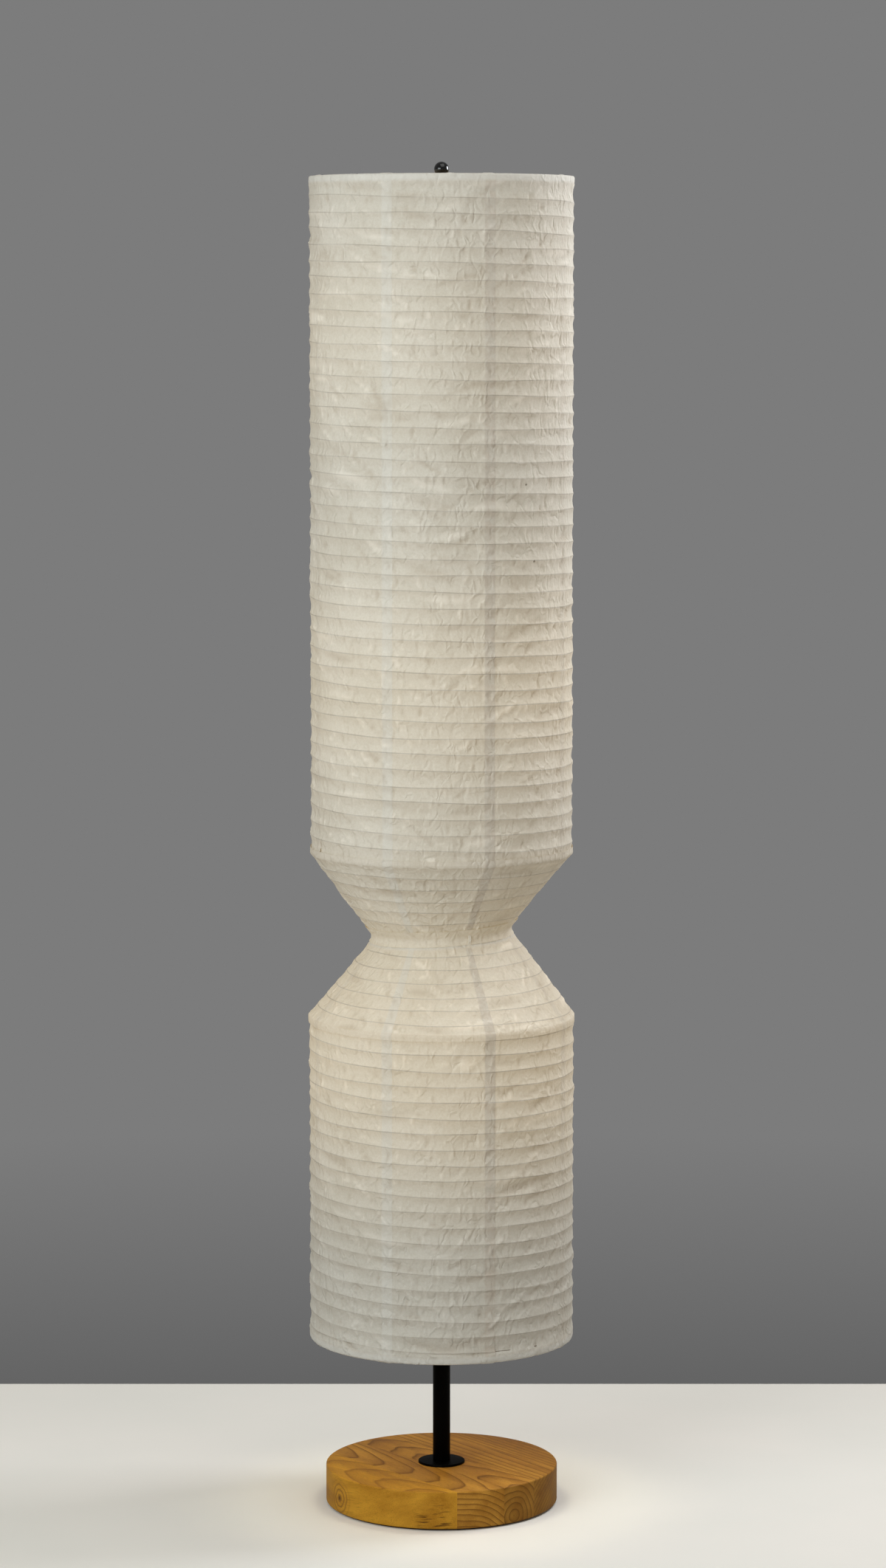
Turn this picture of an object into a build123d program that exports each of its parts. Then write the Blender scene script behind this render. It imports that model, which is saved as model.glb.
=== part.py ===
"""Column floor lamp: two ribbed paper lanterns hung in line round a black pole on a round wooden base."""
from build123d import *
import math
import os

os.makedirs("parts", exist_ok=True)

# Wooden base, edge-glued from staves, on a thin black pad
PAD_THICKNESS = 2.0
PAD_INSET = 5.0
BASE_RADIUS = 127.0
BASE_THICKNESS = 41.0
BASE_EDGE = 1.6
GRAIN_ANGLE = -50.0
STAVE_JOINTS = (-68.0, -17.0, 27.0, 77.0)

# Steel ballast let into the underside of the base, with its screws
WEIGHT_RADIUS = 95.0
WEIGHT_THICKNESS = 12.5
WEIGHT_CLEARANCE = 0.5
SCREW_CIRCLE = 70.0
SCREW_COUNT = 4
SCREW_RADIUS = 2.0
SCREW_LENGTH = 26.0
SCREW_HEAD_RADIUS = 4.5
SCREW_HEAD_HEIGHT = 2.5
SCREW_HOLE_CLEARANCE = 0.3

# Cord inlet through the back of the base
CORD_ANGLE = 60.0
CORD_HEIGHT = 9.5
CORD_BORE = 3.1
BUSHING_RADIUS = 4.5
BUSHING_FLANGE_RADIUS = 6.0
BUSHING_FLANGE_THICKNESS = 1.5
BUSHING_SINK = 2.0
BUSHING_CLEARANCE = 0.3
CORD_SLOT_WIDTH = 8.0
CORD_SLOT_DEPTH = 10.5

# Threaded hardware that holds the base, the pole and the lampholders together
NIPPLE_RADIUS = 5.0
NIPPLE_BORE = 3.6
NIPPLE_CLEARANCE = 0.3
NIPPLE_STUB = 0.5
THREAD_FIT = 0.05
NUT_WIDTH = 17.0
NUT_THICKNESS = 5.0
WASHER_RADIUS = 11.0
WASHER_THICKNESS = 1.5
NUT_POCKET_RADIUS = 14.0
NUT_POCKET_ROOM = 1.5
STUD_RADIUS = 3.0

# Pole in four screwed lengths on a round flange
FLANGE_RADIUS = 25.5
FLANGE_THICKNESS = 2.5
FLANGE_EDGE = 1.0
POLE_RADIUS = 9.5
POLE_WALL = 1.0
POLE_EDGE = 0.4
PLUG_LENGTH = 18.0
NIPPLE_ENGAGEMENT = 14.0

# Lamp brackets, clamped between the pole lengths on alternate sides
LOWEST_BRACKET = 425.0
BRACKET_SPACING = 375.0
BRACKET_SIDES = (-1, 1, -1)
BRACKET_NAMES = ("lower", "middle", "upper")
BRACKET_THICKNESS = 2.0
BRACKET_WIDTH = 24.0
LAMP_OFFSET = 45.0
LAMP_NUT_WIDTH = 14.0
LAMP_NUT_THICKNESS = 4.0

# Screw lampholder: dished cap, moulded body, brass screw shell and centre contact
CAP_RADIUS = 17.7
CAP_WALL = 1.1
CAP_FLOOR = 2.0
CAP_LEDGE = 8.0
CAP_LEDGE_RADIUS = 14.5
CAP_HEIGHT = 16.0
CAP_EDGE = 4.0
HOLDER_FIT = 0.2
HOLDER_HEIGHT = 44.0
HOLDER_FLOOR = 8.0
HOLDER_BORE = 14.7
COLLAR_HEIGHT = 3.0
SHELL_CLEARANCE = 0.3
SHELL_WALL = 0.8
SHELL_HEIGHT = 26.0
SHELL_LIP_RADIUS = 7.0
CONTACT_RADIUS = 4.5
CONTACT_BASE = 1.0
CONTACT_HEIGHT = 3.0

# Round-topped bulb with a screw cap
BULB_GAP = 0.3
TIP_RADIUS = 4.5
TIP_HEIGHT = 2.5
INSULATOR_RADIUS = 6.5
INSULATOR_HEIGHT = 4.0
BULB_CAP_RADIUS = 13.05
BULB_CAP_HEIGHT = 20.0
BULB_CAP_WALL = 1.2
BULB_LENGTH = 108.0
BULB_RADIUS = 30.0
BULB_NECK_RADIUS = 11.5
BULB_TAPER_ANGLE = 22.0
BULB_SHOULDER_RISE = 8.0
GLASS_WALL = 0.8

# Paper lanterns: a long column and a cone above the waist, a cone and a short column below it
SHADE_TOP = 1446.5
UPPER_KNEE = 720.0
UPPER_WAIST = 635.5
LOWER_WAIST = 630.0
LOWER_KNEE = 543.0
SHADE_BOTTOM = 187.0
UPPER_RADIUS = 142.0
LOWER_RADIUS = 144.3
WAIST_RADIUS = 75.5
PAPER = 0.5
GORE_COUNT = 8
SEAM_ANGLE = 21.0
SCALLOP_DEPTH = 1.4
HEM = 8.0
SHORTEST_STRETCH = 1.2

# Rib wire of each lantern, one left-handed helix; its turns lie in a thin sleeve inside the paper
RIB_SLEEVE = 0.4
RIB_CLEARANCE = 0.4
RIB_RUNOUT = 1.0
FRONT_ANGLE = -90.0
UPPER_RIB_PITCH = 17.14
UPPER_FIRST_RIB = 23.5
LOWER_RIB_PITCH = 16.9
LOWER_FIRST_RIB = 15.7

# Hoops at the lantern ends, and the wire spiders that hold them
HOOP_WIRE = 3.0
HOOP_SEAT = 0.3
WELD_SEAT = 0.05
ARM_WIRE = 3.0
ARM_COUNT = 3
ARM_ANGLE = 90.0
HUB_RADIUS = 12.0
HUB_THICKNESS = 2.0
SLEEVE_RADIUS = 14.0
SLEEVE_HEIGHT = 12.0
SLEEVE_CLEARANCE = 0.5

# Ball finial on the stud at the pole's head
FINIAL_RADIUS = 8.0
FINIAL_STEM = 12.0
FINIAL_NECK_RADIUS = 4.6
FINIAL_FOOT_RADIUS = 6.0
FINIAL_FOOT_HEIGHT = 1.6
FINIAL_GAP = 0.2
FINIAL_FIT = 0.1

UP = (Align.CENTER, Align.CENTER, Align.MIN)
ALONG_X = Rot(0, 90, 0)

PAD_TOP = PAD_THICKNESS
BASE_TOP = PAD_TOP + BASE_THICKNESS
WEIGHT_BOTTOM = PAD_TOP + WEIGHT_CLEARANCE
WEIGHT_TOP = WEIGHT_BOTTOM + WEIGHT_THICKNESS
RECESS_RADIUS = WEIGHT_RADIUS + WEIGHT_CLEARANCE
NUT_POCKET_TOP = WEIGHT_BOTTOM + NUT_POCKET_ROOM + NUT_THICKNESS + WASHER_THICKNESS
NUT_TOP = NUT_POCKET_TOP - WASHER_THICKNESS
NUT_BOTTOM = NUT_TOP - NUT_THICKNESS
FLANGE_TOP = BASE_TOP + FLANGE_THICKNESS
BRACKET_BOTTOMS = [LOWEST_BRACKET + level * BRACKET_SPACING for level in range(len(BRACKET_NAMES))]

TOP_HOOP_Z = SHADE_TOP - HOOP_WIRE / 2
BOTTOM_HOOP_Z = SHADE_BOTTOM + HOOP_WIRE / 2
ARM_DROP = (HOOP_WIRE + ARM_WIRE) / 2 + WELD_SEAT
TOP_ARM_Z = TOP_HOOP_Z - ARM_DROP
BOTTOM_ARM_Z = BOTTOM_HOOP_Z + ARM_DROP
HUB_TOP = TOP_ARM_Z + HUB_THICKNESS / 2
POLE_TOP = TOP_ARM_Z - HUB_THICKNESS / 2
HOOP_INSET = PAPER + HOOP_SEAT + HOOP_WIRE / 2
RIB_INSET = PAPER + SCALLOP_DEPTH + RIB_CLEARANCE

UPPER_OUTLINE = ((UPPER_RADIUS, SHADE_TOP), (UPPER_RADIUS, UPPER_KNEE), (WAIST_RADIUS, UPPER_WAIST))
LOWER_OUTLINE = ((WAIST_RADIUS, LOWER_WAIST), (LOWER_RADIUS, LOWER_KNEE), (LOWER_RADIUS, SHADE_BOTTOM))

pieces = {}


def rod(radius, bottom, top):
    """Upright solid cylinder on the pole's axis."""
    return Pos(0, 0, bottom) * Cylinder(radius, top - bottom, align=UP)


def tube(radius, bore, bottom, top):
    """Upright tube on the pole's axis."""
    return rod(radius, bottom, top) - rod(bore, bottom, top)


def turned(outline):
    """Solid of revolution about the pole's axis from an outline of (radius, height) points."""
    profile = make_face(Polyline(*outline, close=True))
    return revolve(Plane.XZ * profile, Axis.Z)


def hex_nut(width, bore, bottom, thickness):
    """Hexagon nut with its thread hole."""
    blank = RegularPolygon(width / 2 / math.cos(math.pi / 6), 6) - Circle(bore)
    return Pos(0, 0, bottom) * extrude(blank, thickness)


def round_pattern(piece, count, start):
    """Copies of a piece turned evenly about the pole's axis."""
    return [Rot(0, 0, start + step * 360 / count) * piece for step in range(count)]


# Base board: one round blank with its recess and holes, then cut along the glue lines
screw_shank_bottom = WEIGHT_BOTTOM + WEIGHT_CLEARANCE + SCREW_HEAD_HEIGHT
screw_top = screw_shank_bottom + SCREW_LENGTH
screw_holes = round_pattern(
    Pos(SCREW_CIRCLE, 0, 0) * rod(SCREW_RADIUS + THREAD_FIT, PAD_TOP, screw_top), SCREW_COUNT, 0
)
spot_face = BASE_RADIUS - BUSHING_SINK
cord_hole = ALONG_X * Cylinder(BUSHING_RADIUS + THREAD_FIT, BASE_RADIUS, align=UP)
cord_spot = Pos(spot_face, 0, 0) * ALONG_X * Cylinder(
    BUSHING_FLANGE_RADIUS + BUSHING_CLEARANCE, BASE_RADIUS, align=UP
)
cord_way = Rot(0, 0, CORD_ANGLE) * Pos(0, 0, CORD_HEIGHT) * Pos(RECESS_RADIUS / 2, 0, 0) * cord_hole
cord_seat = Rot(0, 0, CORD_ANGLE) * Pos(0, 0, CORD_HEIGHT) * cord_spot

board = rod(BASE_RADIUS, PAD_TOP, BASE_TOP)
board = fillet(board.edges().filter_by(GeomType.CIRCLE), BASE_EDGE)
board -= rod(RECESS_RADIUS, PAD_TOP, WEIGHT_TOP)
board -= rod(NIPPLE_RADIUS + NIPPLE_CLEARANCE, PAD_TOP, BASE_TOP)
board -= screw_holes
board -= [cord_way, cord_seat]

stave_edges = (-2 * BASE_RADIUS, *STAVE_JOINTS, 2 * BASE_RADIUS)
for number, (near, far) in enumerate(zip(stave_edges, stave_edges[1:]), start=1):
    slab = Pos(0, (near + far) / 2, PAD_TOP) * Box(2 * BASE_RADIUS, far - near, BASE_THICKNESS, align=UP)
    pieces[f"base_stave_{number}"] = board & Rot(0, 0, GRAIN_ANGLE) * slab

pieces["base_pad"] = rod(BASE_RADIUS - PAD_INSET, 0, PAD_TOP)

# Ballast plate with its nut pocket, cord slot and screws
slot_start = NUT_POCKET_RADIUS - NIPPLE_STUB
cord_slot = Pos(slot_start, 0, WEIGHT_BOTTOM) * Box(
    WEIGHT_RADIUS, CORD_SLOT_WIDTH, CORD_SLOT_DEPTH, align=(Align.MIN, Align.CENTER, Align.MIN)
)
screw_ways = round_pattern(
    Pos(SCREW_CIRCLE, 0, 0) * rod(SCREW_RADIUS + SCREW_HOLE_CLEARANCE, WEIGHT_BOTTOM, WEIGHT_TOP),
    SCREW_COUNT,
    0,
)
head_pockets = round_pattern(
    Pos(SCREW_CIRCLE, 0, 0)
    * rod(SCREW_HEAD_RADIUS + SCREW_HOLE_CLEARANCE, WEIGHT_BOTTOM, screw_shank_bottom),
    SCREW_COUNT,
    0,
)
weight = rod(WEIGHT_RADIUS, WEIGHT_BOTTOM, WEIGHT_TOP)
weight -= rod(NIPPLE_RADIUS + NIPPLE_CLEARANCE, WEIGHT_BOTTOM, WEIGHT_TOP)
weight -= rod(NUT_POCKET_RADIUS, WEIGHT_BOTTOM, NUT_POCKET_TOP)
weight -= Rot(0, 0, CORD_ANGLE) * cord_slot
weight -= screw_ways
weight -= head_pockets
pieces["base_weight"] = weight

screw = rod(SCREW_RADIUS, screw_shank_bottom, screw_top)
screw += rod(SCREW_HEAD_RADIUS, screw_shank_bottom - SCREW_HEAD_HEIGHT, screw_shank_bottom)
pieces["weight_screws"] = Compound(round_pattern(Pos(SCREW_CIRCLE, 0, 0) * screw, SCREW_COUNT, 0))

# Nipple, washer and nut that draw the pole down on to the base
pieces["base_nipple"] = tube(
    NIPPLE_RADIUS, NIPPLE_BORE, NUT_BOTTOM - NIPPLE_STUB, FLANGE_TOP + NIPPLE_ENGAGEMENT
)
pieces["base_washer"] = tube(WASHER_RADIUS, NIPPLE_RADIUS + NIPPLE_CLEARANCE, NUT_TOP, NUT_POCKET_TOP)
pieces["base_nut"] = hex_nut(NUT_WIDTH, NIPPLE_RADIUS + THREAD_FIT, NUT_BOTTOM, NUT_THICKNESS)

# Bushing that lines the cord hole, its flange sunk into a spot face
bushing_start = RECESS_RADIUS + BUSHING_SINK
bushing = Pos(bushing_start, 0, 0) * ALONG_X * Cylinder(BUSHING_RADIUS, spot_face - bushing_start, align=UP)
bushing += Pos(spot_face, 0, 0) * ALONG_X * Cylinder(
    BUSHING_FLANGE_RADIUS, BUSHING_FLANGE_THICKNESS, align=UP
)
bushing -= ALONG_X * Cylinder(CORD_BORE, 2 * BASE_RADIUS, align=UP)
pieces["cord_bushing"] = Rot(0, 0, CORD_ANGLE) * Pos(0, 0, CORD_HEIGHT) * bushing

# Flange and pole lengths, each length plugged and tapped at both ends
flange = rod(FLANGE_RADIUS, BASE_TOP, FLANGE_TOP)
flange = fillet(flange.edges().filter_by(GeomType.CIRCLE).group_by(Axis.Z)[-1], FLANGE_EDGE)
pieces["pole_flange"] = flange - rod(NIPPLE_RADIUS + NIPPLE_CLEARANCE, BASE_TOP, FLANGE_TOP)


def pole_length(bottom, top, head_bore):
    """Pole tube with a tapped plug welded into each end."""
    length = rod(POLE_RADIUS, bottom, top)
    length = chamfer(length.edges().filter_by(GeomType.CIRCLE), POLE_EDGE)
    length -= rod(POLE_RADIUS - POLE_WALL, bottom + PLUG_LENGTH, top - PLUG_LENGTH)
    length -= rod(NIPPLE_RADIUS + THREAD_FIT, bottom, bottom + PLUG_LENGTH)
    length -= rod(head_bore, top - PLUG_LENGTH, top)
    return length


tapped = NIPPLE_RADIUS + THREAD_FIT
pole_bottoms = [FLANGE_TOP] + [bottom + BRACKET_THICKNESS for bottom in BRACKET_BOTTOMS]
pole_tops = BRACKET_BOTTOMS + [POLE_TOP]
head_bores = [tapped] * len(BRACKET_BOTTOMS) + [STUD_RADIUS + THREAD_FIT]
for number, ends in enumerate(zip(pole_bottoms, pole_tops, head_bores), start=1):
    pieces[f"pole_length_{number}"] = pole_length(*ends)

pieces["pole_joint_nipples"] = Compound(
    [
        tube(
            NIPPLE_RADIUS,
            NIPPLE_BORE,
            bottom - NIPPLE_ENGAGEMENT,
            bottom + BRACKET_THICKNESS + NIPPLE_ENGAGEMENT,
        )
        for bottom in BRACKET_BOTTOMS
    ]
)


# Lampholders and bulbs, drawn on the pole's axis above a bracket whose top is at height zero
holder_bottom = CAP_LEDGE
holder_top = holder_bottom + HOLDER_HEIGHT
holder_floor = holder_bottom + HOLDER_FLOOR
holder_radius = CAP_RADIUS - CAP_WALL - HOLDER_FIT
collar_bottom = CAP_HEIGHT + HOLDER_FIT

cap = rod(CAP_RADIUS, 0, CAP_HEIGHT)
cap = fillet(cap.edges().filter_by(GeomType.CIRCLE).group_by(Axis.Z)[0], CAP_EDGE)
cap -= rod(CAP_LEDGE_RADIUS, CAP_FLOOR, CAP_LEDGE)
cap -= rod(CAP_RADIUS - CAP_WALL, CAP_LEDGE, CAP_HEIGHT)
cap -= rod(tapped, 0, CAP_FLOOR)

holder = rod(holder_radius, holder_bottom, holder_top)
holder += rod(CAP_RADIUS, collar_bottom, collar_bottom + COLLAR_HEIGHT)
holder -= rod(HOLDER_BORE, holder_floor, holder_top)

shell_radius = HOLDER_BORE - SHELL_CLEARANCE
shell = tube(shell_radius, shell_radius - SHELL_WALL, holder_floor, holder_floor + SHELL_HEIGHT)
shell += tube(shell_radius, SHELL_LIP_RADIUS, holder_floor, holder_floor + SHELL_WALL)

contact = turned(
    (
        (0, holder_floor),
        (CONTACT_RADIUS, holder_floor),
        (CONTACT_RADIUS, holder_floor + CONTACT_BASE),
        (CONTACT_RADIUS / 2, holder_floor + CONTACT_HEIGHT),
        (0, holder_floor + CONTACT_HEIGHT),
    )
)

tip_bottom = holder_floor + CONTACT_HEIGHT + BULB_GAP
tip_top = tip_bottom + TIP_HEIGHT
barrel_bottom = tip_top + INSULATOR_HEIGHT
barrel_top = barrel_bottom + BULB_CAP_HEIGHT
bulb_top = tip_bottom + BULB_LENGTH

bulb_tip = rod(TIP_RADIUS, tip_bottom, tip_top)
bulb_tip = fillet(bulb_tip.edges().filter_by(GeomType.CIRCLE).group_by(Axis.Z)[0], TIP_HEIGHT / 2)

bulb_cap = turned(
    (
        (0, tip_top),
        (INSULATOR_RADIUS, tip_top),
        (BULB_CAP_RADIUS, barrel_bottom),
        (BULB_CAP_RADIUS, barrel_top),
        (BULB_CAP_RADIUS - BULB_CAP_WALL, barrel_top),
        (BULB_CAP_RADIUS - BULB_CAP_WALL, barrel_bottom + BULB_CAP_WALL),
        (0, barrel_bottom + BULB_CAP_WALL),
    )
)


def bulb_blank(wall):
    """Bulb envelope pared down by a wall thickness: neck, straight taper and round crown."""
    crown = BULB_RADIUS - wall
    centre = bulb_top - BULB_RADIUS
    taper = math.radians(BULB_TAPER_ANGLE)
    taper_end = (crown * math.cos(taper), centre - crown * math.sin(taper))
    shoulder = barrel_top + BULB_SHOULDER_RISE
    shoulder_radius = taper_end[0] - (taper_end[1] - shoulder) * math.tan(taper)
    neck = BULB_NECK_RADIUS - wall
    foot = barrel_bottom + 2 * BULB_CAP_WALL
    wall_lines = Polyline((0, foot), (neck, foot), (neck, barrel_top), (shoulder_radius, shoulder), taper_end)
    crown_side = (crown * math.cos(taper), centre + crown * math.sin(taper))
    crown_top = (0, centre + crown)
    crown_arc = ThreePointArc(taper_end, crown_side, crown_top)
    axis_line = Line(crown_top, (0, foot))
    return revolve(Plane.XZ * make_face([wall_lines, crown_arc, axis_line]), Axis.Z)


bulb_glass = bulb_blank(0) - bulb_blank(GLASS_WALL)

lamp_nipple = tube(
    NIPPLE_RADIUS,
    NIPPLE_BORE,
    -BRACKET_THICKNESS - LAMP_NUT_THICKNESS - NIPPLE_STUB,
    CAP_FLOOR + NIPPLE_STUB,
)
lamp_nut = hex_nut(LAMP_NUT_WIDTH, tapped, -BRACKET_THICKNESS - LAMP_NUT_THICKNESS, LAMP_NUT_THICKNESS)

contacts = []
lamp_nipples = []
lamp_nuts = []
for name, side, bottom in zip(BRACKET_NAMES, BRACKET_SIDES, BRACKET_BOTTOMS):
    reach = side * LAMP_OFFSET
    strap = Pos(reach / 2, 0, 0) * SlotCenterToCenter(LAMP_OFFSET, BRACKET_WIDTH)
    strap -= Circle(NIPPLE_RADIUS + NIPPLE_CLEARANCE)
    strap -= Pos(reach, 0) * Circle(NIPPLE_RADIUS + NIPPLE_CLEARANCE)
    pieces[f"{name}_bracket"] = Pos(0, 0, bottom) * extrude(strap, BRACKET_THICKNESS)
    place = Pos(reach, 0, bottom + BRACKET_THICKNESS)
    pieces[f"{name}_holder_cap"] = place * cap
    pieces[f"{name}_holder_body"] = place * holder
    pieces[f"{name}_screw_shell"] = place * shell
    pieces[f"{name}_bulb_tip"] = place * bulb_tip
    pieces[f"{name}_bulb_cap"] = place * bulb_cap
    pieces[f"{name}_bulb_glass"] = place * bulb_glass
    contacts.append(place * contact)
    lamp_nipples.append(place * lamp_nipple)
    lamp_nuts.append(place * lamp_nut)
pieces["holder_contacts"] = Compound(contacts)
pieces["lamp_nipples"] = Compound(lamp_nipples)
pieces["lamp_nuts"] = Compound(lamp_nuts)


def direction(start, end):
    """Unit step and length from one outline point to the next."""
    length = math.dist(start, end)
    return ((end[0] - start[0]) / length, (end[1] - start[1]) / length), length


def inwards(step):
    """Unit normal of an outline step, towards the pole."""
    normal = (step[1], -step[0])
    return normal if normal[0] < 0 else (-normal[0], -normal[1])


def rib_distances(first, pitch, angle, start, end):
    """Distances along the outline at which the helix passes a plan angle, within one stretch."""
    phase = first + pitch * (angle - FRONT_ANGLE) / 360
    turn = math.ceil((start + SHORTEST_STRETCH - phase) / pitch)
    found = []
    while phase + turn * pitch < end - SHORTEST_STRETCH:
        found.append(phase + turn * pitch)
        turn += 1
    return found


def panel(outline, stretch, first, pitch):
    """Ring of paper gores on one stretch of a lantern's outline.

    The paper is straight in the hem, drawn in between the ribs, and mitred where the two stretches meet.
    """
    runs = [direction(near, far) for near, far in zip(outline, outline[1:])]
    step, length = runs[stretch]
    start = outline[stretch]
    before = stretch * runs[0][1]
    normal = inwards(step)
    width = 360 / GORE_COUNT
    hem_at_start = stretch == 0
    knee = length if hem_at_start else 0
    turn = math.acos(runs[0][0][0] * runs[1][0][0] + runs[0][0][1] * runs[1][0][1])
    mitre = -math.tan(turn / 2) if hem_at_start else math.tan(turn / 2)
    drawn_from = HEM if hem_at_start else 0
    drawn_to = length if hem_at_start else length - HEM
    gores = []
    for number in range(GORE_COUNT):
        seam = SEAM_ANGLE - 180 + number * width
        ribs = rib_distances(first, pitch, seam + width / 2, before + drawn_from, before + drawn_to)
        stations = [drawn_from, *(rib - before for rib in ribs), drawn_to]

        def at(distance, depth):
            along = distance + mitre * depth if distance == knee else distance
            return (
                start[0] + step[0] * along + normal[0] * depth,
                start[1] + step[1] * along + normal[1] * depth,
            )

        def face_side(depth):
            hem_ends = (0, HEM) if hem_at_start else (drawn_to, length)
            edges = [Line(at(hem_ends[0], depth), at(hem_ends[1], depth))]
            for near, far in zip(stations, stations[1:]):
                sag = SCALLOP_DEPTH * ((far - near) / pitch) ** 2
                middle = at((near + far) / 2, depth + sag)
                edges.append(ThreePointArc(at(near, depth), middle, at(far, depth)))
            return edges

        border = face_side(0) + face_side(PAPER)
        border.append(Line(at(0, 0), at(0, PAPER)))
        border.append(Line(at(length, 0), at(length, PAPER)))
        section = Plane.XZ * make_face(border)
        gores.append(Rot(0, 0, seam) * revolve(section, Axis.Z, revolution_arc=width))
    return Compound(gores)


upper_ribs = (UPPER_FIRST_RIB, UPPER_RIB_PITCH)
lower_ribs = (LOWER_FIRST_RIB, LOWER_RIB_PITCH)
pieces["upper_column_paper"] = panel(UPPER_OUTLINE, 0, *upper_ribs)
pieces["upper_cone_paper"] = panel(UPPER_OUTLINE, 1, *upper_ribs)
pieces["lower_cone_paper"] = panel(LOWER_OUTLINE, 0, *lower_ribs)
pieces["lower_column_paper"] = panel(LOWER_OUTLINE, 1, *lower_ribs)


def inset_outline(outline, depth):
    """The three outline points moved in from the paper's face by a depth square to each stretch."""
    first_step = direction(outline[0], outline[1])[0]
    second_step = direction(outline[1], outline[2])[0]
    first_normal = inwards(first_step)
    second_normal = inwards(second_step)
    bisector = (first_normal[0] + second_normal[0], first_normal[1] + second_normal[1])
    reach = depth / (1 + first_normal[0] * second_normal[0] + first_normal[1] * second_normal[1])
    moves = (
        (first_normal[0] * depth, first_normal[1] * depth),
        (bisector[0] * reach, bisector[1] * reach),
        (second_normal[0] * depth, second_normal[1] * depth),
    )
    return [(point[0] + move[0], point[1] + move[1]) for point, move in zip(outline, moves)]


def rib_sleeve(outline):
    """Thin sleeve just inside the paper, in which all the turns of a lantern's rib wire lie.

    It stands for the wire, and weighs about what the wire does.
    """
    trim = HEM + RIB_RUNOUT
    faces = []
    for depth in (RIB_INSET, RIB_INSET + RIB_SLEEVE):
        head, knee, foot = inset_outline(outline, depth)
        leave = direction(head, knee)[0]
        arrive = direction(knee, foot)[0]
        faces.append(
            [
                (head[0] + leave[0] * trim, head[1] + leave[1] * trim),
                knee,
                (foot[0] - arrive[0] * trim, foot[1] - arrive[1] * trim),
            ]
        )
    return turned(faces[0] + faces[1][::-1])


pieces["upper_rib_wire"] = rib_sleeve(UPPER_OUTLINE)
pieces["lower_rib_wire"] = rib_sleeve(LOWER_OUTLINE)


def hoop(radius, height):
    """Wire hoop lying just inside the paper."""
    return Pos(0, 0, height) * Torus(radius - HOOP_INSET, HOOP_WIRE / 2)


pieces["top_hoop"] = hoop(UPPER_RADIUS, TOP_HOOP_Z)
pieces["upper_waist_hoop"] = hoop(WAIST_RADIUS, UPPER_WAIST + HOOP_WIRE / 2)
pieces["lower_waist_hoop"] = hoop(WAIST_RADIUS, LOWER_WAIST - HOOP_WIRE / 2)
pieces["bottom_hoop"] = hoop(LOWER_RADIUS, BOTTOM_HOOP_Z)


def spider_arms(inner, outer, height):
    """Straight wire arms from a hub out to a hoop."""
    arm = Pos(inner, 0, height) * ALONG_X * Cylinder(ARM_WIRE / 2, outer - inner, align=UP)
    return round_pattern(arm, ARM_COUNT, ARM_ANGLE)


hub = rod(HUB_RADIUS, POLE_TOP, HUB_TOP)
hub += spider_arms(HUB_RADIUS - ARM_WIRE / 2, UPPER_RADIUS - HOOP_INSET, TOP_ARM_Z)
hub -= rod(STUD_RADIUS + THREAD_FIT, POLE_TOP, HUB_TOP)
pieces["top_spider"] = hub

sleeve_bore = POLE_RADIUS + SLEEVE_CLEARANCE
sleeve_bottom = BOTTOM_ARM_Z - SLEEVE_HEIGHT / 2
sleeve = rod(SLEEVE_RADIUS, sleeve_bottom, sleeve_bottom + SLEEVE_HEIGHT)
sleeve += spider_arms((SLEEVE_RADIUS + sleeve_bore) / 2, LOWER_RADIUS - HOOP_INSET, BOTTOM_ARM_Z)
sleeve -= rod(sleeve_bore, sleeve_bottom, sleeve_bottom + SLEEVE_HEIGHT)
pieces["bottom_spider"] = sleeve

# Stud in the pole's head, and the ball that screws down on it
ball_centre = HUB_TOP + FINIAL_STEM
pieces["pole_top_stud"] = rod(STUD_RADIUS, POLE_TOP - PLUG_LENGTH + NIPPLE_STUB, ball_centre - FINIAL_GAP)

finial_bottom = HUB_TOP + FINIAL_GAP
finial = Pos(0, 0, ball_centre) * Sphere(FINIAL_RADIUS)
finial += rod(FINIAL_NECK_RADIUS, finial_bottom, ball_centre)
finial += rod(FINIAL_FOOT_RADIUS, finial_bottom, finial_bottom + FINIAL_FOOT_HEIGHT)
finial -= rod(STUD_RADIUS + FINIAL_FIT, finial_bottom, ball_centre)
pieces["finial"] = finial

for name, piece in pieces.items():
    export_step(piece, f"parts/{name}.step")
print(len(pieces), "pieces")
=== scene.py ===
"""Column floor lamp: two ribbed paper lanterns round a black pole on a wooden base."""
import bpy
import math
import numpy as np
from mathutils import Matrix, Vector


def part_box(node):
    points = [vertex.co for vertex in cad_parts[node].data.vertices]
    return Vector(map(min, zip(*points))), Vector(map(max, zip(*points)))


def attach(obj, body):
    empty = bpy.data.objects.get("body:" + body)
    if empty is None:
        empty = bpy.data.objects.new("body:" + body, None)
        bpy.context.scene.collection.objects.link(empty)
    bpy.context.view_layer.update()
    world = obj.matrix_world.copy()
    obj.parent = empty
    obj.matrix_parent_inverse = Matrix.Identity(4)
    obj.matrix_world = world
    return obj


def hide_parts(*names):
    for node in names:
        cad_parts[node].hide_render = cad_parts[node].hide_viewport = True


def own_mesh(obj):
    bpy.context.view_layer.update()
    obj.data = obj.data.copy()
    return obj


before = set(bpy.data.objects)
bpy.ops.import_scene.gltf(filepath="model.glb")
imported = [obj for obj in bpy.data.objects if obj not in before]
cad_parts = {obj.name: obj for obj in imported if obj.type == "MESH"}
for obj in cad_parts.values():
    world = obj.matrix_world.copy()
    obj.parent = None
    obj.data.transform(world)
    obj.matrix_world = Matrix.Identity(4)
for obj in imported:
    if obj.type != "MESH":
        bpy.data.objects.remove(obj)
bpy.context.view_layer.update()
bpy.context.scene.view_settings.view_transform = "Standard"
bpy.ops.object.select_all(action="DESELECT")


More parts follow.
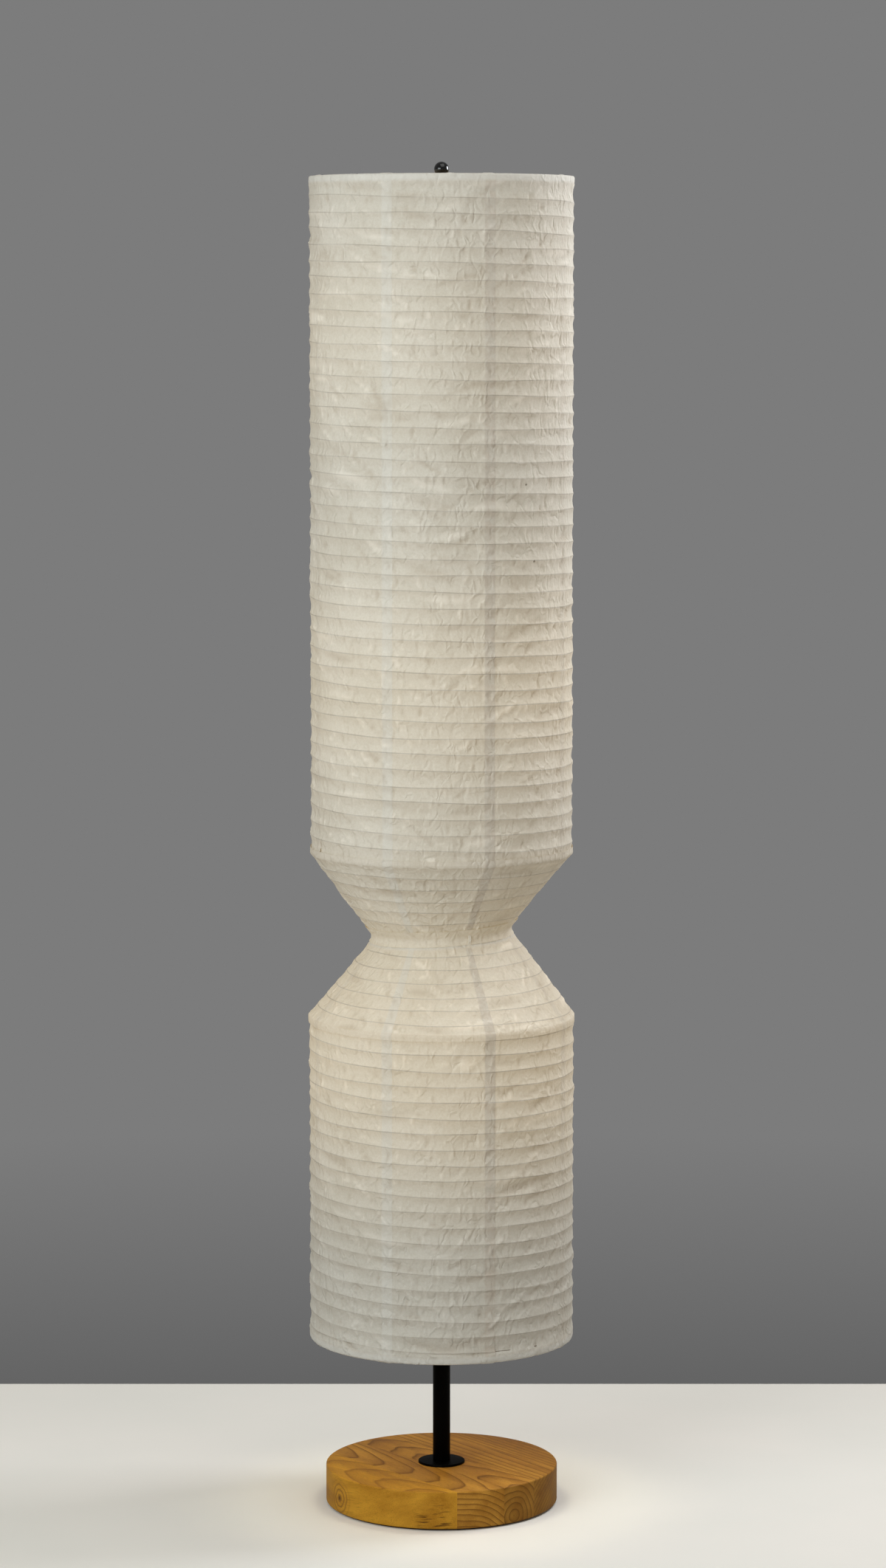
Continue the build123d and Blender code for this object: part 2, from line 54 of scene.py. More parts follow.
# Pad: a thin disc of black felt glued under the base, set in a little from its edge.
# It keeps the wood off the floor and shows as a dark line round the foot.
def give(socket, value):
    """Links a value that changes over the surface to a socket, or sets a plain one on it."""
    if isinstance(value, bpy.types.NodeSocket):
        socket.id_data.links.new(value, socket)
    elif value is not None:
        socket.default_value = value


def feed(target, **values):
    """Gives a shader or a node group values by the names of its sockets."""
    for name, value in values.items():
        give(target.inputs[name.replace("_", " ")], value)


def finish(name, roughness, **values):
    """New material with one Principled shader; plain values are set on the shader's own sockets."""
    material = bpy.data.materials.new(name)
    material.use_nodes = True
    shader = material.node_tree.nodes["Principled BSDF"]
    feed(shader, Roughness=roughness, **values)
    return material, material.node_tree, shader


def node(tree, kind, *values, **settings):
    """New shader node; the values go to its sockets in order."""
    made = tree.nodes.new("ShaderNode" + kind)
    for setting, value in settings.items():
        setattr(made, setting, value)
    for socket, value in zip(made.inputs, values):
        give(socket, value)
    return made


def tint(red, green, blue):
    """Linear colour from the 0 to 255 values of a paint chart."""
    shares = [value / 255 for value in (red, green, blue)]
    return [share / 12.92 if share <= 0.04045 else ((share + 0.055) / 1.055) ** 2.4 for share in shares] + [1]


def graded(tree, value, *stops):
    """Colour ramp through (place, colour) stops."""
    made = node(tree, "ValToRGB", value)
    band = made.color_ramp.elements
    while len(band) < len(stops):
        band.new(0.5)
    for element, (place, colour) in zip(band, stops):
        element.position = place
        element.color = colour
    return made.outputs["Color"]


def grain(tree, scale, detail, roughness=0.5, vector=None):
    """Noise on the piece's own coordinates."""
    if vector is None:
        vector = node(tree, "TexCoord").outputs["Object"]
    return node(tree, "TexNoise", vector, None, scale, detail, roughness).outputs["Fac"]


def embossed(shader, height, strength, distance):
    """Bump on the shader's normal."""
    bump = node(shader.id_data, "Bump", strength, distance, None, height)
    feed(shader, Normal=bump.outputs["Normal"])


def dress(material, *names):
    """Puts a finish on carried-over pieces."""
    for name in names:
        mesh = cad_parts[name].data
        mesh.materials.clear()
        mesh.materials.append(material)


felt, tree, shader = finish("black_felt", 0.95, Sheen_Weight=0.25)
fibres = grain(tree, 900, 6, 0.7)
feed(shader, Base_Color=graded(tree, fibres, (0.3, tint(12, 12, 13)), (0.75, tint(40, 39, 38))))
embossed(shader, fibres, 0.6, 0.0006)
dress(felt, "base_pad")


# Base: a round board edge-glued from five staves of pale hardwood, turned, its rims rounded over, and oiled.
# A recess underneath takes the ballast; the pole's nipple and the cord go through it.
BOARD_RADIUS = 0.127
BOARD_BOTTOM = 0.002
BOARD_TOP = 0.043
BOARD_SIDES = 288
RIM_ROUND = 0.0016
RECESS_RADIUS = 0.0955
RECESS_TOP = 0.015
NIPPLE_HOLE = 0.0053
CORD_HOLE = 0.00455
CORD_HEIGHT = 0.0095
CORD_TURN = math.radians(60)
SPOT_FACE = 0.0063
SPOT_START = 0.125
THROUGH = 0.2
DRILL_SIDES = 96
GRAIN_TURN = math.radians(-50)
GLUE_LINES = (-0.068, -0.017, 0.027, 0.077)


def alone(piece):
    """Selects one piece and nothing else."""
    bpy.ops.object.select_all(action="DESELECT")
    piece.select_set(True)
    bpy.context.view_layer.objects.active = piece


def settle(piece, name):
    """Names a piece and leaves its object at the origin, with its place in its mesh."""
    alone(piece)
    bpy.ops.object.transform_apply(location=True, rotation=True, scale=True)
    piece.name = name
    piece.data.name = name
    return piece


def sharpened(piece, degrees):
    """Smooth faces that stay crisp at corners above an angle."""
    alone(piece)
    bpy.ops.object.shade_smooth_by_angle(angle=math.radians(degrees))


def applied(piece, kind, **settings):
    """Adds a modifier to a piece and applies it."""
    modifier = piece.modifiers.new(kind.lower(), kind)
    for setting, value in settings.items():
        setattr(modifier, setting, value)
    alone(piece)
    bpy.ops.object.modifier_apply(modifier=modifier.name)


def bored(board, radius, depth, location, rotation=(0, 0, 0)):
    """Drills a round hole."""
    bpy.ops.mesh.primitive_cylinder_add(
        vertices=DRILL_SIDES, radius=radius, depth=depth, location=location, rotation=rotation
    )
    drill = bpy.context.object
    applied(board, "BOOLEAN", object=drill, operation="DIFFERENCE")
    bpy.data.objects.remove(drill)


def fitted(piece, material, body, slot, *nodes):
    """Finishes a new piece: its material, the body it rides on and the solids it stands for; the slot is not
    used.
    """
    piece.data.materials.clear()
    piece.data.materials.append(material)
    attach(piece, body)
    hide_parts(*nodes)


def mixed(tree, factor, first, second, blend_type="MIX"):
    """Colour between two colours."""
    made = node(tree, "Mix", factor, data_type="RGBA", blend_type=blend_type)
    give(made.inputs[6], first)
    give(made.inputs[7], second)
    return made.outputs[2]


def ranged(tree, value, low, high, to_low, to_high, **settings):
    """A value moved from one range to another, and held within it."""
    return node(tree, "MapRange", value, low, high, to_low, to_high, **settings).outputs["Result"]


def faded(tree, distance, near, far, most):
    """Strength that falls smoothly from its most, near by, to nothing far off."""
    return ranged(tree, distance, near, far, most, 0, interpolation_type="SMOOTHSTEP")


def worked(tree, operation, *values):
    """Result of one sum."""
    return node(tree, "Math", *values, operation=operation).outputs["Value"]


def product(tree, *factors):
    """Factors multiplied together."""
    made = factors[0]
    for factor in factors[1:]:
        made = worked(tree, "MULTIPLY", made, factor)
    return made


def away_from(tree, place, spot):
    """Distance from a spot on the object."""
    return node(tree, "VectorMath", place, spot, operation="DISTANCE").outputs["Value"]


def grouped(name, inputs, outputs):
    """New shader node group: its tree, what comes in and what goes out."""
    group = bpy.data.node_groups.new(name, "ShaderNodeTree")
    for socket, kind in inputs.items():
        group.interface.new_socket(socket, in_out="INPUT", socket_type="NodeSocket" + kind)
    for socket in outputs:
        group.interface.new_socket(socket, in_out="OUTPUT", socket_type="NodeSocketFloat")
    return group, group.nodes.new("NodeGroupInput").outputs, group.nodes.new("NodeGroupOutput")


def placed(tree, group, **values):
    """A node group placed in a material with its own values."""
    made = node(tree, "Group", node_tree=group)
    feed(made, **values)
    return made.outputs


timber_grain, given, made = grouped(
    "timber_grain", {"Vector": "Vector", "Ring Scale": "Float", "Swirl": "Float"}, ("Rings", "Pores", "Mottle")
)
stretched = node(timber_grain, "Mapping", given["Vector"], None, None, (0.16, 1, 1)).outputs["Vector"]
drawn_out = node(timber_grain, "Mapping", given["Vector"], None, None, (0.03, 1, 1)).outputs["Vector"]
rings = node(
    timber_grain, "TexWave", stretched, given["Ring Scale"], given["Swirl"], 2, 0.55, 0.5,
    wave_type="RINGS", rings_direction="X", wave_profile="SAW",
)
feed(
    made, Rings=rings.outputs["Fac"],
    Pores=grain(timber_grain, 1500, 3, 0.6, drawn_out), Mottle=grain(timber_grain, 38, 4, 0.6, stretched),
)

bpy.ops.mesh.primitive_cylinder_add(
    vertices=BOARD_SIDES, radius=BOARD_RADIUS, depth=BOARD_TOP - BOARD_BOTTOM,
    location=(0, 0, (BOARD_TOP + BOARD_BOTTOM) / 2),
)
board = settle(bpy.context.object, "board")
bpy.ops.object.mode_set(mode="EDIT")
bpy.ops.mesh.select_mode(type="EDGE")
bpy.ops.mesh.select_all(action="DESELECT")
bpy.ops.object.mode_set(mode="OBJECT")
for edge in board.data.edges:
    ends = [board.data.vertices[number].co.z for number in edge.vertices]
    edge.select = abs(ends[0] - ends[1]) < RIM_ROUND
bpy.ops.object.mode_set(mode="EDIT")
bpy.ops.mesh.bevel(offset=RIM_ROUND, segments=4, affect="EDGES")
bpy.ops.object.mode_set(mode="OBJECT")
bored(board, RECESS_RADIUS, 2 * RECESS_TOP, (0, 0, 0))
bored(board, NIPPLE_HOLE, THROUGH, (0, 0, 0))
for radius, near in ((CORD_HOLE, RECESS_RADIUS / 2), (SPOT_FACE, SPOT_START)):
    middle = near + BOARD_RADIUS / 2
    place = (math.cos(CORD_TURN) * middle, math.sin(CORD_TURN) * middle, CORD_HEIGHT)
    bored(board, radius, BOARD_RADIUS, place, (0, math.pi / 2, CORD_TURN))

# Each stave: where its heart lies from the board's middle (along, across, up), its lean, ring scale, swirl,
# how much of the figure its side shows, how dark its side is (end grain soaked with oil, and painted shade
# that darkens the right-hand staves' sides), and its tones.
STAVES = (
    ((0.02, 0.096, 0.010), (0.0, 0.16, 0.02), 44, 5.0, 0.12, 1.06, tint(214, 158, 52), tint(156, 103, 38)),
    ((0.03, 0.062, 0.022), (0.0, -0.13, -0.02), 52, 4.2, 1.0, 1.1, tint(202, 148, 62), tint(112, 67, 27)),
    ((-0.02, 0.002, 0.008), (0.0, 0.14, 0.02), 46, 5.0, 0.9, 0.86, tint(198, 144, 60), tint(104, 62, 26)),
    ((0.05, -0.112, 0.060), (0.0, 0.03, 0.0), 66, 0.9, 0.7, 0.8, tint(188, 136, 56), tint(114, 71, 30)),
    ((0.00, -0.170, 0.020), (0.0, 0.04, 0.02), 62, 1.0, 0.7, 0.8, tint(180, 129, 53), tint(108, 67, 29)),
)
TOP_FIGURE = 0.9
TOP_TONE = 1.09
RIM = (BOARD_TOP - RIM_ROUND, BOARD_TOP - RIM_ROUND / 4)
YEAR_RING = ((0, 0.25), (0.06, 0), (0.5, 0.12), (0.8, 0.42), (0.95, 1), (1, 0.25))

# Two marks on the first stave's side: a small knot with rings round it, and a slanting bruise.
KNOT = (-0.111, -0.0615, 0.019)
KNOT_WOBBLE = 0.006
KNOT_RINGS = 1150
KNOT_REACH = (0.014, 0.028)
KNOT_CORE = (0.0045, 0.0068)
BRUISE = (-0.008, -0.1262, 0.0125)
BRUISE_REACH = (0.008, 0.026)
BRUISE_SLANT = (0, 0.42, 0)
BRUISE_STREAKS = (60, 120, 420)


def knotted(tree, place, colour):
    """Colour with the knot in it."""
    to_knot = away_from(tree, place, KNOT)
    wobble = worked(tree, "MULTIPLY_ADD", grain(tree, 60, 2), KNOT_WOBBLE, to_knot)
    circles = worked(tree, "SINE", worked(tree, "MULTIPLY", wobble, KNOT_RINGS))
    circles = ranged(tree, circles, 0, 1, 0, 0.75)
    inside = product(tree, circles, faded(tree, wobble, *KNOT_REACH, 1))
    colour = mixed(tree, inside, colour, tint(142, 96, 40))
    return mixed(tree, faded(tree, wobble, *KNOT_CORE, 0.9), colour, tint(88, 54, 22))


def bruised(tree, place, colour):
    """Colour with the bruise in it."""
    near_bruise = faded(tree, away_from(tree, place, BRUISE), *BRUISE_REACH, 1)
    slanted = node(tree, "Mapping", place, None, BRUISE_SLANT, BRUISE_STREAKS).outputs["Vector"]
    streaks = ranged(tree, grain(tree, 1, 3, 0.6, slanted), 0.5, 0.62, 0, 0.9)
    return mixed(tree, product(tree, streaks, near_bruise), colour, tint(84, 50, 18))


across = (-math.sin(GRAIN_TURN), math.cos(GRAIN_TURN), 0)
edges = (None, *GLUE_LINES, None)
for number, (near_edge, far_edge, facts) in enumerate(zip(edges, edges[1:], STAVES), 1):
    heart, lean, ring_scale, swirl, side_figure, side_tone_and_shade, pale, dark = facts
    stave = board.copy()
    stave.data = board.data.copy()
    bpy.context.scene.collection.objects.link(stave)
    settle(stave, f"stave_{number}")
    for edge, far in ((near_edge, False), (far_edge, True)):
        if edge is not None:
            bpy.ops.object.mode_set(mode="EDIT")
            bpy.ops.mesh.select_all(action="SELECT")
            bpy.ops.mesh.bisect(
                plane_co=[edge * part for part in across], plane_no=across, use_fill=True,
                clear_inner=not far, clear_outer=far,
            )
            bpy.ops.object.mode_set(mode="OBJECT")
    sharpened(stave, 30)

    wood, tree, shader = finish(f"oiled_wood_{number}", 0.5, Specular_IOR_Level=0.14)
    place = node(tree, "TexCoord").outputs["Object"]
    height = node(tree, "SeparateXYZ", place).outputs["Z"]
    turned_to_grain = node(tree, "Mapping", place, None, (0, 0, -GRAIN_TURN)).outputs["Vector"]
    from_heart = node(tree, "Mapping", turned_to_grain, heart, lean).outputs["Vector"]
    figure = placed(tree, timber_grain, Vector=from_heart, Ring_Scale=ring_scale, Swirl=swirl)
    late = graded(tree, figure["Rings"], *((stop, (depth, depth, depth, 1)) for stop, depth in YEAR_RING))
    strength = ranged(tree, figure["Mottle"], 0.35, 0.65, 0.65, 1)
    on_side = ranged(tree, height, *RIM, side_figure, TOP_FIGURE)
    colour = mixed(tree, product(tree, late, strength, on_side), pale, dark)
    clouding = graded(tree, figure["Mottle"], (0.32, tint(204, 190, 164)), (0.66, tint(255, 255, 250)))
    # Sides darker than the top on the right-hand staves: end grain soaked with oil, and painted shade.
    oiled_and_shaded = ranged(tree, height, *RIM, side_tone_and_shade, TOP_TONE)
    pores = ranged(tree, figure["Pores"], 0.34, 0.46, 0.72, 1)
    for shade in (clouding, oiled_and_shaded, pores):
        colour = mixed(tree, 1.0, colour, shade, "MULTIPLY")
    if number == 1:
        colour = bruised(tree, place, knotted(tree, place, colour))
    feed(shader, Base_Color=colour, Roughness=ranged(tree, figure["Mottle"], 0.3, 0.7, 0.42, 0.56))
    embossed(shader, pores, 0.35, 0.0002)
    fitted(stave, wood, "stand", "oiled_wood", f"base_stave_{number}")
bpy.data.objects.remove(board)


# Hardware in the foot: the steel ballast and its screws, and the nipple, washer and nut that draw the pole
# down. All of it is zinc-plated or raw steel; the bushing that lines the cord hole is moulded black plastic.
PITS_TO_CLOUD = 9
plating, given, made = grouped("plating", {"Vector": "Vector", "Scale": "Float"}, ("Cloud", "Pits"))
pit_scale = worked(plating, "MULTIPLY", given["Scale"], PITS_TO_CLOUD)
feed(
    made, Cloud=grain(plating, given["Scale"], 5, 0.65, given["Vector"]),
    Pits=grain(plating, pit_scale, 3, 0.5, given["Vector"]),
)


def plated(name, bright, dull, roughness, scale):
    """Metal whose plating varies a little in brightness and polish."""
    metal, tree, shader = finish(name, roughness, Metallic=1.0)
    place = node(tree, "TexCoord").outputs["Object"]
    plate = placed(tree, plating, Vector=place, Scale=scale)
    polish = ranged(tree, plate["Cloud"], 0.3, 0.7, roughness + 0.1, roughness - 0.05)
    feed(shader, Base_Color=graded(tree, plate["Cloud"], (0.3, dull), (0.7, bright)), Roughness=polish)
    embossed(shader, plate["Pits"], 0.2, 0.0001)
    return metal


zinc = plated("zinc_steel", tint(206, 208, 210), tint(160, 163, 168), 0.32, 120)
dress(zinc, "weight_screws", "base_nipple", "base_washer", "base_nut")
dress(zinc, "pole_joint_nipples", "lamp_nipples", "lamp_nuts")
dress(plated("ballast_steel", tint(120, 118, 116), tint(78, 74, 70), 0.55, 45), "base_weight")

black_plastic, tree, shader = finish("black_plastic", 0.42)
speckle = grain(tree, 1800, 4, 0.6)
plain = tint(26, 26, 27)
dusty = [1.9 * part + 0.004 for part in plain[:3]] + [1]
feed(
    shader, Base_Color=graded(tree, speckle, (0.42, plain), (0.8, dusty)),
    Roughness=ranged(tree, speckle, 0.3, 0.7, 0.37, 0.52),
)
embossed(shader, speckle, 0.25, 0.0001)
dress(black_plastic, "cord_bushing")


# Flange and pole: a pressed round flange and four screwed lengths of 19 mm steel tube, in satin black lacquer.
# The lamp brackets are flat black straps clamped in the pole's joints.
FLANGE_EDGE = 0.001
TUBE_EDGE = 0.0004
TUBE_WALL = 0.001
PLUG = 0.018
PLUG_BORE = 0.00505


def spun(name, outline, steps, degrees, centre=0.0):
    """Round piece: a closed outline of (radius, height) points, spun about an upright axis."""
    bpy.ops.mesh.primitive_circle_add(vertices=len(outline), radius=1)
    piece = bpy.context.object
    for vertex, (radius, height) in zip(piece.data.vertices, outline):
        vertex.co = (centre + radius, 0, height)
    bpy.ops.object.mode_set(mode="EDIT")
    bpy.ops.mesh.select_all(action="SELECT")
    bpy.ops.mesh.spin(steps=steps, angle=2 * math.pi, center=(centre, 0, 0), axis=(0, 0, 1))
    bpy.ops.mesh.select_all(action="SELECT")
    bpy.ops.mesh.remove_doubles(threshold=1e-6)
    bpy.ops.mesh.delete_loose()
    bpy.ops.mesh.normals_make_consistent(inside=False)
    bpy.ops.object.mode_set(mode="OBJECT")
    settle(piece, name)
    sharpened(piece, degrees)
    return piece


def arc(centre, radius, start, end, count):
    """Points on an arc, for a spun outline."""
    angles = np.radians(np.linspace(start, end, count))
    return [(centre[0] + radius * math.cos(angle), centre[1] + radius * math.sin(angle)) for angle in angles]


black_lacquer, tree, shader = finish("black_steel", 0.34, Specular_IOR_Level=0.04)
film = grain(tree, 24, 4, 0.6)
feed(
    shader, Base_Color=graded(tree, film, (0.35, tint(1, 1, 1)), (0.8, tint(6, 6, 5))),
    Roughness=ranged(tree, film, 0.3, 0.7, 0.4, 0.52),
)
embossed(shader, grain(tree, 420, 3), 0.12, 0.0002)

low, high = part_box("pole_flange")
outline = [(NIPPLE_HOLE, low.z), (high.x, low.z)]
outline += arc((high.x - FLANGE_EDGE, high.z - FLANGE_EDGE), FLANGE_EDGE, 0, 90, 6)
outline += [(NIPPLE_HOLE, high.z)]
flange = spun("flange", outline, 160, 50)
fitted(flange, black_lacquer, "stand", "black_steel", "pole_flange")

for number in range(1, 5):
    low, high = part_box(f"pole_length_{number}")
    face = high.x - TUBE_EDGE
    bore = high.x - TUBE_WALL
    outline = [(PLUG_BORE, low.z), (face, low.z)]
    outline += arc((face, low.z + TUBE_EDGE), TUBE_EDGE, -60, 0, 3)
    outline += arc((face, high.z - TUBE_EDGE), TUBE_EDGE, 0, 60, 3)
    outline += [(face, high.z), (PLUG_BORE, high.z), (PLUG_BORE, high.z - PLUG)]
    outline += [(bore, high.z - PLUG), (bore, low.z + PLUG), (PLUG_BORE, low.z + PLUG)]
    length = spun(f"pole_{number}", outline, 96, 40)
    fitted(length, black_lacquer, "stand", "black_steel", f"pole_length_{number}")
dress(black_lacquer, "lower_bracket", "middle_bracket", "upper_bracket")


# Lampholders: moulded caps and bodies, a brass screw shell and centre contact in each.
# Bulbs: a soldered tip, a screw cap and a frosted round-topped glass that glows warm.
FLOORS = ("lower", "middle", "upper")
CROWN = 0.030
GLASS = 0.0008
TAPER = 22
NECK = 0.0115
NECK_TOP = 0.0176
SHOULDER = 0.0148
SHOULDER_TOP = 0.0256

brass = plated("brass", tint(214, 176, 98), tint(176, 134, 62), 0.3, 140)
solder = plated("solder", tint(190, 190, 188), tint(132, 132, 134), 0.4, 300)
cap_metal = plated("bulb_cap_metal", tint(222, 218, 208), tint(180, 176, 168), 0.28, 200)
dress(brass, "holder_contacts")

frosted, tree, shader = finish("frosted_glass", 0.55, Emission_Strength=1.0)
frosting = grain(tree, 700, 3)
warmth = ranged(tree, grain(tree, 18, 2), 0.2, 0.8, 0.85, 1)
feed(
    shader, Base_Color=graded(tree, frosting, (0.3, tint(236, 230, 216)), (0.7, tint(250, 247, 240))),
    Emission_Color=mixed(tree, warmth, tint(255, 190, 110), tint(255, 214, 158)),
)
embossed(shader, frosting, 0.15, 0.0001)

for floor in FLOORS:
    dress(black_plastic, f"{floor}_holder_cap", f"{floor}_holder_body")
    dress(brass, f"{floor}_screw_shell")
    dress(solder, f"{floor}_bulb_tip")
    dress(cap_metal, f"{floor}_bulb_cap")
    low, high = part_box(f"{floor}_bulb_glass")
    outline = []
    for wall, way in ((0, 1), (GLASS, -1)):
        run = [(NECK - wall, low.z), (NECK - wall, low.z + NECK_TOP), (SHOULDER - wall, low.z + SHOULDER_TOP)]
        run += arc((0, high.z - CROWN), CROWN - wall, -TAPER, 90, 20)
        outline += run[::way]
    glass = spun(f"{floor}_glass", outline, 64, 40, (low.x + high.x) / 2)
    fitted(glass, frosted, f"{floor}_bulb", "frosted_glass", f"{floor}_bulb_glass")


# Upper lantern: eight gores of crumpled white paper, pasted over a spiral rib wire with their edges lapped.
# The paper is drawn in between the turns of the wire; its ends are hemmed round the top and waist hoops,
# and the cone's edge is lapped over the column at the knee.
UPPER_LINE = ((0.142, 1.4465), (0.142, 0.720), (0.0755, 0.6355))
UPPER_RIBS = (0.0235, 0.01714)
UPPER_RUN = 0.84
UPPER_SEED = 11
GORES = 8
GORE_COLUMNS = 90
FRONT = math.radians(-90)
PAPER = 0.0002
HOOP_INSET = 0.0023
HOOP_WIRE = 0.003
HOOP_STEPS = 8
HEM = 0.008
HEM_TAIL = 0.005
HEM_TONE = -1
WAIST_TILT = 0.06

# Seams: where the first one is, how far the gores lap (as angles), their tones (below 0 pale, above 0 dark),
# how far a lap lifts the paper, how it comes on and ends, and the puckers along it.
SEAM = math.radians(21)
SEAM_LAP = 0.088
SEAM_TONES = (-0.5, 0.8, 0.4, 0.5, -0.3, 0.6, 0.4, 0.3)
LAP_LIFT = 0.0003
LAP_START = 0.02
LAP_END = 0.03
LAP_EDGE = 0.4
TONE_START = 0.01
PUCKER = 0.0003
PUCKER_REACH = 0.009
PUCKER_WAVES = (1.18, 2, 0.31)
KNEE_LAP = 0.0075
KNEE_GAP = 0.0004
KNEE_LIFT = 0.0005

# Bays between the ribs: how far the paper is drawn in on the column and on the cone, where the rows of points
# lie across a bay, and how much of a crease is left at a rib.
SCALLOP = 0.0014
CONE_SCALLOP = 0.0007
BAY = (0, 0.07, 0.24, 0.5, 0.76, 0.93)
CREASE_AT_RIB = 0.3
RIB_CLEAR = 0.003
NO_RIB = 0.01
WOUND = range(-2, 60)
WANDER = ((0.0006, 8.6, 1), (0.0005, 22.7, 2), (0.0003, 39.6, 4))

# Kinds of crease: how many to the square decimetre, and their half length, half width, lean and lift in
# millimetres and degrees: short puckers, slanting folds and long shallow swoops.
MILLIMETRES = 1000
CREASES = (
    (40, (4, 8), (1.7, 3.0), (-35, 35), (0.6, 1.5)),
    (9, (8, 20), (2.2, 3.6), (40, 75), (0.8, 1.85)),
    (2.5, (22, 42), (4, 7), (76, 90), (0.9, 1.85)),
)


def folds(around, along, seed, calm=1.0):
    """Heights of a lantern's creases on a 1 mm grid that joins up round it."""
    draw = np.random.default_rng(seed)
    rows = math.ceil(along * MILLIMETRES) + 2
    columns = round(around * MILLIMETRES)
    heights = np.zeros((rows, columns))
    for count, length, width, lean, lift in CREASES:
        for _ in range(round(count * around * along * 100)):
            row = draw.integers(0, rows)
            column = draw.integers(0, columns)
            half = draw.uniform(*length)
            wide = draw.uniform(*width)
            angle = math.radians(draw.uniform(*lean))
            height = calm * draw.uniform(*lift) * draw.choice((-1, 1)) / MILLIMETRES
            if math.cos(2 * math.pi * column / columns) > 0:
                angle = -angle
            span = np.arange(-math.ceil(half + wide), math.ceil(half + wide) + 1)
            right, down = np.meshgrid(span, span)
            bow = draw.uniform(-1, 1) * wide
            run = (right * math.sin(angle) + down * math.cos(angle)) / half
            off = np.abs(right * math.cos(angle) - down * math.sin(angle) + bow * run**2) / wide
            shape = np.clip(1 - off, 0, None) * np.clip(1 - run**2, 0, None)
            inside = (row + span >= 0) & (row + span < rows)
            heights[np.ix_((row + span)[inside], (column + span) % columns)] += height * shape[inside]
    return heights


def height_at(heights, column, row):
    """Crease height between the points of the grid."""
    rows, columns = heights.shape
    row = np.clip(row, 0, rows - 1.001)
    left = np.floor(column).astype(int)
    upper = np.floor(row).astype(int)
    share_right = column - left
    share_down = row - upper
    left %= columns
    right = (left + 1) % columns
    top = heights[upper, left] * (1 - share_right) + heights[upper, right] * share_right
    bottom = heights[upper + 1, left] * (1 - share_right) + heights[upper + 1, right] * share_right
    return top * (1 - share_down) + bottom * share_down


def wander(turn):
    """How far the hand-wound wire strays along the lantern, by the turns wound."""
    return sum(reach * np.sin(pace * turn + start) for reach, pace, start in WANDER)


def straight(line, number):
    """Start, unit step, length and outward normal of one straight of a lantern's outline."""
    start = np.array(line[number])
    step = np.array(line[number + 1]) - start
    length = np.hypot(*step)
    step = step / length
    return start, step, length, np.array((-step[1], step[0]))


def tilt(line, number, distance):
    """How much the rings of a lantern lean over to the right: not on the column, most at the waist."""
    _, step, length, _ = straight(line, number)
    to_waist = distance / length if step[0] < 0 else 1 - distance / length
    return WAIST_TILT * np.clip(to_waist, 0, 1) * (abs(step[0]) > 0)


def on_line(line, number, distance, hoop):
    """Points and outward normals at distances along one straight, its hem wrap and its lap past the knee."""
    start, step, length, outward = straight(line, number)
    other = straight(line, 1 - number)
    point = start + distance[..., None] * step
    normal = np.broadcast_to(outward, point.shape).copy()
    past_knee = distance - length if number == 0 else -distance
    knee = start + step * length if number == 0 else start
    way = other[1] if number == 0 else -other[1]
    lapped = past_knee > 0
    point[lapped] = knee + past_knee[lapped][:, None] * way
    normal[lapped] = other[3]
    foot = (hoop - start) @ step
    reach = -(hoop - start) @ outward
    back = -step if number == 0 else step
    past_foot = foot - distance if number == 0 else distance - foot
    wrapped = past_foot > 0
    angle = np.minimum(past_foot[wrapped] / reach, math.pi)[:, None]
    tail = np.maximum(past_foot[wrapped] - math.pi * reach, 0)[:, None]
    normal[wrapped] = outward * np.cos(angle) + back * np.sin(angle)
    point[wrapped] = hoop + reach * normal[wrapped] - back * tail
    return point, normal


def gore_rows(line, number, angle, first, pitch, hoop, lapped):
    """Rows of points across a gore, from the bottom up: how far along the straight they are, their share of
    a bay, how far that bay is drawn in and how far off the next rib is."""
    start, step, length, outward = straight(line, number)
    before = number * straight(line, 0)[2]
    drawn_from, drawn_to = (HEM, length) if number == 0 else (0, length - HEM)
    scallop = CONE_SCALLOP if abs(step[0]) > 0 else SCALLOP
    flat = np.ones_like(angle)
    turn = (angle - FRONT) / (2 * math.pi)
    ribs = []
    for wound in WOUND:
        rib = first + pitch * (wound + turn) + wander(wound + turn) - before
        if rib.min() > drawn_from + RIB_CLEAR and rib.max() < drawn_to - RIB_CLEAR:
            ribs.append(rib)
    stations = [drawn_from * flat, *ribs, drawn_to * flat]
    bay_rows = []
    for count, (near, far) in enumerate(zip(stations, stations[1:])):
        sag = scallop * ((far - near) / pitch) ** 1.5
        for share in BAY:
            from_ribs = [share * (far - near)] if count > 0 else []
            from_ribs += [(1 - share) * (far - near)] if count < len(ribs) else []
            bay_rows.append((near + share * (far - near), share * flat, sag, np.min(from_ribs, axis=0)))
    bay_rows.append((stations[-1], 0 * flat, 0 * flat, drawn_to - ribs[-1]))

    foot = (hoop - start) @ step
    wrap = math.pi * -(hoop - start) @ outward
    around_hoop = np.linspace(0, wrap, HOOP_STEPS)
    if number == 0:
        hem = [foot - wrap - HEM_TAIL, *(foot - around_hoop[::-1]), (foot + HEM) / 2]
        lap = (length + KNEE_GAP, length + KNEE_LAP / 2, length + KNEE_LAP)
    else:
        hem = [(foot + length - HEM) / 2, *(foot + around_hoop), foot + wrap + HEM_TAIL]
        lap = (-KNEE_LAP, -KNEE_LAP / 2, -KNEE_GAP)
    hem_rows, lap_rows = (
        [(place * flat, 0 * flat, 0 * flat, NO_RIB * flat) for place in places]
        for places in (hem, lap if lapped else ())
    )
    rows = hem_rows + bay_rows + lap_rows if number == 0 else lap_rows + bay_rows + hem_rows
    return [np.array(part)[::-1] for part in zip(*rows)]


def sheet_of(places, **marks):
    """Sheet through rows of points, with marks on its points for the material."""
    rows, columns = places.shape[:2]
    bpy.ops.mesh.primitive_grid_add(x_subdivisions=columns - 1, y_subdivisions=rows - 1, size=1)
    sheet = bpy.context.object
    sheet.data.vertices.foreach_set("co", places.ravel())
    for mark, values in marks.items():
        sheet.data.attributes.new(mark, "FLOAT", "POINT").data.foreach_set("value", values.ravel())
    return sheet


